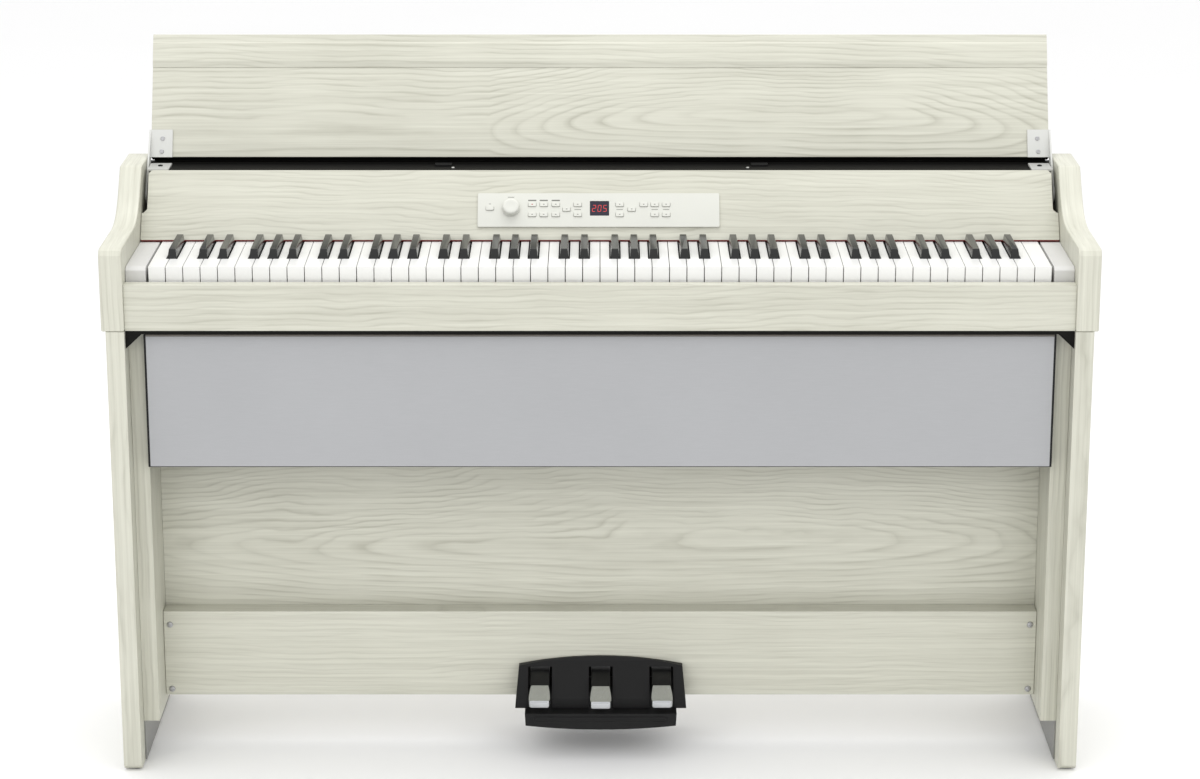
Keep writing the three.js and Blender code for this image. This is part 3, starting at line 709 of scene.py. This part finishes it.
def add_fascia(place):
    low, high = node_box("fascia")
    back = place.inverted()
    foot = back @ Vector((0, low.y, low.z))
    head = foot.y + math.hypot(*FASCIA_SLOPE)
    half = high.x
    inner = SLOT_SIDE
    slot_bottom = (back @ Vector((0, low.y + 24, SLOT_FLOOR))).y
    right = [
        (half - 0.2, foot.y), (half - 0.2, slot_bottom - 3), (inner + 5, slot_bottom - 3),
        (inner, slot_bottom + 2), (inner, head - 5), (inner - 5, head),
    ]
    radii = [0, 0, 2.4, 3.2, 1, 3]
    outline = right + [(-x, y) for x, y in reversed(right)]
    shift = place.translation.x
    points = fillet([(x - shift, y) for x, y in outline], radii + radii[::-1], 4)
    board = prism(points, -FASCIA_THICK, 0, "Z")
    # The foot is cut level, so the inner edge stays above the keys.
    lift = FASCIA_THICK * abs(place.col[2].z) / abs(place.col[1].z)
    for vert in board.verts:
        if vert.co.z < -1 and vert.co.y < foot.y + 0.5:
            vert.co.y += lift
    obj = piece("fascia_board", board, WOOD["fascia"], replaces=("fascia",), edge=0.9, matrix=place)
    window = moved(block((-158, -18, -30), (158, 20, 10)), place)
    carve(obj, window)


SEGMENTS = {"0": "abcdef", "2": "abged", "5": "afgcd"}


def digit(figure, x, y, height):
    """A seven-segment figure of slim bars."""
    width, bar = height * 0.46, height * 0.085
    half_w, half_h = width / 2, height / 2
    across = (width - bar * 0.6, bar)
    upright = (bar, half_h - bar * 0.6)
    places = {
        "a": ((0, half_h), across), "g": ((0, 0), across), "d": ((0, -half_h), across),
        "b": ((half_w, half_h / 2), upright), "c": ((half_w, -half_h / 2), upright),
        "f": ((-half_w, half_h / 2), upright), "e": ((-half_w, -half_h / 2), upright),
    }
    bars = []
    for key in SEGMENTS[figure]:
        (dx, dy), size = places[key]
        lean = dy * 0.12
        bars.append(rounded_bar((x + dx + lean, y + dy), size, bar * 0.4, *DIGIT_LEVELS))
    return bars


def add_control_panel(place):
    width, height, depth = PANEL_SIZE
    plate = rounded_bar((0, 0), (width, height), 2.2, 0.3, depth)
    panel = piece("control_panel_plate", plate, PANEL, replaces=("control_panel",), edge=0.7, segments=3,
                  matrix=place)
    holes = [rounded_bar(at, (CAP[0] + 0.7, CAP[1] + 0.7), 1.5, *THROUGH)
             for at in [*sum(PADS.values(), []), POWER]]
    window = (DISPLAY["half"][0] * 2 + 0.5, DISPLAY["half"][1] * 2 + 0.5)
    holes.append(rounded_bar((DISPLAY["x"], DISPLAY["y"]), window, 0.8, *THROUGH))
    holes.append(moved(lathe([(3.6, level) for level in THROUGH], 24), Matrix.Translation((*KNOB, 0))))
    carve(panel, *[moved(hole, place) for hole in holes])

    # Shallow printed guides: short bars over the buttons, with no lettering.
    ink = (depth - 0.05, depth + 0.04)
    marks = []
    for x in SOUND_COLUMNS:
        marks.append(rounded_bar((x, ROWS[0] + 6.2), (11.5, 1.9), 0.5, *ink))
    marks.append(rounded_bar((KNOB[0], KNOB[1] + 16.5), (9, 0.8), 0.3, *ink))
    for x in PAIR_COLUMNS:
        marks.append(rounded_bar((x, 0.6), (9, 0.8), 0.3, *ink))
    marks.append(rounded_bar((POWER[0], POWER[1] + 6.5), (3, 0.8), 0.3, *ink))
    piece("panel_print", joined(*marks), PRINT, edge=0, matrix=place)

    half = DISPLAY["half"]
    glass = rounded_bar((DISPLAY["x"], DISPLAY["y"]), (half[0] * 2, half[1] * 2), 0.6, -6.4, depth - 0.4)
    piece("display_window", glass, GLASS, replaces=("display_board",), edge=0.25, matrix=place)
    figures = []
    for figure, dx in (("2", -7.6), ("0", 0), ("5", 7.6)):
        figures += digit(figure, DISPLAY["x"] + dx, DISPLAY["y"], 9.2)
    piece("display_digits", joined(*figures), DIGIT, edge=0, matrix=place)
    board = joined(block((-155, -16, -7.6), (140, 18, -6.5)),
                   block((-60, -10, -10.5), (-40, 8, -7.5)), block((70, -8, -10), (110, 8, -7.5)))
    piece("circuit_board", board, GREEN, edge=0.2, matrix=place)

    for name, spots in PADS.items():
        caps = []
        for at in spots:
            caps.append(rounded_bar(at, CAP[:2], 1.3, -2, CAP[2]))
        xs, ys = [x for x, _ in spots], [y for _, y in spots]
        middle = ((min(xs) + max(xs)) / 2, (min(ys) + max(ys)) / 2)
        span = (max(xs) - min(xs) + 8, max(ys) - min(ys) + 8)
        web = rounded_bar(middle, span, 1, -2.6, -1.2)
        piece(f"{name}_button_caps", joined(web, *caps), CAPS, f"{name}_pad",
              replaces=(f"{name}_buttons",), edge=0.5, segments=3, matrix=place)
        dots = [rounded_bar(at, (2.2, 1.1), 0.4, CAP[2] - 0.02, CAP[2] + 0.03) for at in spots]
        if name == "sound":
            piece("sound_button_red_mark", dots.pop(0), RED_PRINT, f"{name}_pad", edge=0, matrix=place)
        piece(f"{name}_button_marks", joined(*dots), PRINT, f"{name}_pad", edge=0, matrix=place)
    piece("power_cap", rounded_bar(POWER, CAP[:2], 1.3, -3.4, CAP[2]), CAPS, "power",
          replaces=("power_button",), edge=0.5, segments=3, matrix=place)

    # Knob: a soft-edged cap with a fine grip round its skirt and a shallow dimple on top.
    profile = [(3, -4), (3, 3.2), (12.4, 3.2), (12.4, 4.2), (12.0, 4.6), (11.6, 9.5), (11.2, 11.4),
               (10.2, 12.5), (8.8, 12.9), (6, 12.6), (0, 12.2)]
    knob = lathe(profile, 72)
    for vert in knob.verts:
        if 4.4 < vert.co.z < 11:
            angle = math.atan2(vert.co.y, vert.co.x)
            vert.co.xy *= 1 - 0.012 * (0.5 + 0.5 * math.cos(36 * angle))
    piece("volume_cap", knob, CAPS, "knob", replaces=("volume_knob",), edge=0,
          matrix=place @ Matrix.Translation((*KNOB, 0)))


# ---------------------------------------------------------------- keyboard
PITCHES = (
    ("c", None), ("c_sharp", -2), ("d", None), ("d_sharp", 2), ("e", None), ("f", None),
    ("f_sharp", -3), ("g", None), ("g_sharp", 0), ("a", None), ("a_sharp", 3), ("b", None),
)
WHITE_PITCH = 23.5
KEY_GAP = 1.0
KEY_COUNT = 88
WHITE_COUNT = 52
# The lowest key is an A, and the keys of the middle octave each turn on their own.
LOWEST_PITCH = 9
MIDDLE = (39, 50)
BLACK_WIDTH = 13.7
BLACK_FRONT = -114
BLACK_BACK = -18


def lay_keys():
    keys, whites = [], 0
    for i in range(KEY_COUNT):
        name, offset = PITCHES[(i + LOWEST_PITCH) % 12]
        crack = (whites - WHITE_COUNT / 2) * WHITE_PITCH
        black = offset is not None
        keys.append((name, black, crack + offset if black else crack + WHITE_PITCH / 2))
        whites += 0 if black else 1
    return keys


def white_key(keys, index, low, high):
    x = keys[index][2]
    half = (WHITE_PITCH - KEY_GAP) / 2
    room = BLACK_WIDTH / 2 + KEY_GAP
    left, right = x - half, x + half
    if index > 0 and keys[index - 1][1]:
        left = keys[index - 1][2] + room
    if index + 1 < len(keys) and keys[index + 1][1]:
        right = keys[index + 1][2] - room
    shoulder = BLACK_FRONT - KEY_GAP
    outline = [(x - half, low.y), (x + half, low.y)]
    radii = [1.2, 1.2]
    if right < x + half:
        outline += [(x + half, shoulder), (right, shoulder)]
        radii += [0.5, 0]
    outline += [(right, high.y), (left, high.y)]
    radii += [0, 0]
    if left > x - half:
        outline += [(left, shoulder), (x - half, shoulder)]
        radii += [0, 0.5]
    skirt = block((x - half + 0.2, low.y + 0.4, low.z - 9), (x + half - 0.2, low.y + 9, low.z + 1))
    return joined(prism(fillet(outline, radii, 3), low.z, high.z, "Z"), skirt)


def black_key(x, low, top, back):
    """A tapered cap, sloped in front, on a narrow stick that runs back to the fulcrum."""
    base, crown = BLACK_WIDTH / 2, 4.4
    levels = ((low.z + 14, base, 0.0), (top - 0.5, crown + 0.2, 8.2), (top, crown - 0.2, 8.9))
    loops = []
    for z, half, slope in levels:
        outline = rectangle((x - half, x + half), (BLACK_FRONT + slope, BLACK_BACK))
        loops.append([(a, b, z) for a, b in fillet(outline, [1.2, 1.2, 0.4, 0.4], 4)])
    stick = block((x - crown + 0.4, BLACK_FRONT + 5, low.z), (x + crown - 0.4, back, low.z + 15))
    return joined(loft(loops), stick)


def add_keyboard():
    keys = lay_keys()
    low, high = node_box("key_c")
    top = node_box("key_c_sharp")[1].z
    for i, (name, black, x) in enumerate(keys):
        if i < MIDDLE[0]:
            body, node = "bass_section", "bass_keys"
        elif i > MIDDLE[1]:
            body, node = "treble_section", "treble_keys"
        else:
            body, node = f"{name}_key", f"key_{name}"
        replaced = (node,) if i in (0, KEY_COUNT - 1) or MIDDLE[0] <= i <= MIDDLE[1] else ()
        if black:
            shape = black_key(x, low, top, high.y)
            piece(f"key_{i + 1:02d}_black", shape, EBONY, body, replaced, edge=0.35)
        else:
            shape = white_key(keys, i, low, high)
            piece(f"key_{i + 1:02d}_white", shape, IVORY, body, replaced, edge=0.5, segments=3)
    dress("key_frame", BLACK_PAINT, 0.5)


# ---------------------------------------------------------------- lid
LID_LEAN = math.radians(24)
LID_LENGTH = 180
LID_THICK = 15
LIP_SEAM = 131
# How far the lip's front edge stands above the board's own top edge.
LIP_RISE = 1.22


def lid_frame():
    """Along the lid from its lower inner edge, and back through its thickness, in (Y, Z)."""
    _, high = node_box("lid")
    up = Vector((math.sin(LID_LEAN), math.cos(LID_LEAN)))
    back = Vector((math.cos(LID_LEAN), -math.sin(LID_LEAN)))
    head = Vector((high.y, high.z - LIP_RISE))
    corner = Vector((head.x - LID_LENGTH * up.x - LID_THICK * back.x, head.y - LID_LENGTH * up.y))
    return lambda along, depth: tuple(corner + up * along + back * depth)


def add_lid():
    low, high = node_box("lid")
    at = lid_frame()
    seam, length, thick = LIP_SEAM, LID_LENGTH, LID_THICK
    board = [at(0.8, 0.02), at(seam, 0.02), at(seam, thick), at(0.8, thick)]
    piece("lid_board", prism(fillet(board, [0.8, 0, 0, 0.8], 4), low.x, high.x, "X"), WOOD["lid"],
          "lid_assembly", replaces=("lid",), edge=0.8)
    lip = [at(seam + 0.05, thick), at(seam + 0.05, -0.4), at(seam + 9, -2.9), at(length - 14, -2.9),
           at(length - 12.5, -2.0), at(length - 1, -2.0), at(length, 1), at(length, thick)]
    radii = [0, 0.4, 7, 0.5, 0.5, 1.5, 2, 3]
    piece("lid_lip", prism(fillet(lip, radii, 5), low.x, high.x, "X"), WOOD["lip"], "lid_assembly",
          edge=0.6)

    # A thin black strip covers the lid board's lower end face, so that face shows dark.
    edging = [at(0, 0.3), at(0.8, 0.3), at(0.8, thick - 0.3), at(0, thick - 0.3)]
    piece("lid_lower_end_strip", prism(edging, low.x + 0.4, high.x - 0.4, "X"), BLACK_PAINT, "lid_assembly",
          edge=0.1)

    normal = (0, -math.cos(LID_LEAN), math.sin(LID_LEAN))
    for name, sign in SIDES:
        dress(f"{name}_lid_bracket", PALE_STEEL, 0.4)
        dress(f"{name}_hinge_plate", HINGE_STEEL, 0.4)
        for place, along, x in (("upper", 27, 622), ("lower", 8, 623)):
            y, z = at(along, -2.7)
            screw(f"lid_screw_{name}_{place}", (sign * x, y, z), normal, 3.2, "lid_assembly")
        low_plate, high_plate = node_box(f"{name}_hinge_plate")
        screw(f"hinge_screw_{name}", (sign * 622, low_plate.y + 26, high_plate.z), (0, 0, 1), 3.6,
              material=BLACK)

    # A low black lip on the rear panel closes the gap under the open lid.
    low, high = node_box("rear_panel")
    lip = rectangle((high.y - 2.4, high.y - 0.2), (high.z - 0.1, high.z + 3.6))
    piece("rear_lip", prism(lip, low.x + 6, high.x - 6, "X"), BLACK_PAINT, edge=0.4)

    # Screws that hold the cover down, and the two small stops behind them.
    cover_low, cover_high = node_box("top_cover")
    for k, x in enumerate((-208, 209)):
        screw(f"cover_screw_{k + 1}", (x, cover_low.y + 22, cover_high.z), (0, 0, 1), 2.6, material=STEEL)
    for k, x in enumerate((-222, 226)):
        stop = rounded_bar((x, cover_high.y - 12), (24, 14), 2, cover_high.z, cover_high.z + 3)
        piece(f"cover_stop_{k + 1}", stop, BLACK, edge=0.5)


# ---------------------------------------------------------------- pedals
PEDAL_AXIS = (-20, 100)
PEDAL_SECTIONS = (
    # distance behind the toe, half width, underside, top
    (0.0, 11.0, 86.5, 93.0), (1.2, 13.4, 84.9, 95.2), (4.0, 14.6, 84.2, 96.0), (9.0, 15.3, 85.2, 97.2),
    (22.0, 14.6, 89.5, 100.6), (34.0, 13.4, 93.2, 103.6), (38.0, 12.9, 94.5, 104.4),
)


def add_pedals():
    dress("pedal_cowl", BLACK, 1.2, 3)
    dress("pedal_tray", BLACK, 1.2, 3)
    low, high = node_box("pedal_tray")
    well = block((low.x + 6.3, high.y - 3, low.z + 24.3), (high.x - 6.3, high.y - 0.2, high.z))
    piece("pedal_well", well, BLACK, edge=0.5)
    centre = ((low.x + high.x) / 2, low.z + 15)
    stand_up = Matrix.Translation((0, low.y, 0)) @ Matrix.Rotation(math.pi / 2, 4, "X")
    band = piece("pedal_tray_band", rounded_bar(centre, (190, 8.5), 4.2, -0.5, 0.9), BLACK, edge=0.4,
                 matrix=stand_up)
    carve(band, moved(rounded_bar(centre, (184, 4.4), 2.2, 0.3, 3), stand_up))
    dress("pedal_shaft", STEEL, 0.4)
    for node in ("soft_pedal", "sostenuto_pedal", "damper_pedal"):
        low, high = node_box(node)
        x = (low.x + high.x) / 2
        body = node.replace("_pedal", "")
        toe = low.y
        loops = []
        for behind, half, under, top in PEDAL_SECTIONS:
            outline = fillet(rectangle((x - half, x + half), (under, top)), [3.2, 3.2, 1.7, 1.7], 5)
            loops.append([(a, toe + behind, b) for a, b in outline])
        piece(f"{node}_toe", loft(loops), CHROME, body, replaces=(node,), edge=0)

        stem = [(toe + 36, 94.6), (-104, 106.2), (-90, 105.2), (-20, 92)]
        stem += arc(PEDAL_AXIS, 10, -80, 80, 10) + [(-90, 114.8), (-106, 114.8), (toe + 36, 103.6)]
        arm = piece(f"{node}_lever", prism(stem, x - 13.5, x + 13.5, "X"), BLACK, body, edge=0.9)
        bore = moved(lathe([(5.3, -24), (5.3, 24)], 32), Matrix.Translation((x, *PEDAL_AXIS))
                     @ Matrix.Rotation(math.pi / 2, 4, "Y"))
        carve(arm, bore)


add_camera()
add_studio()
add_stand()
add_speakers()
add_body()
PANEL_PLACE = panel_frame()
add_fascia(PANEL_PLACE)
add_control_panel(PANEL_PLACE)
add_keyboard()
add_lid()
add_pedals()
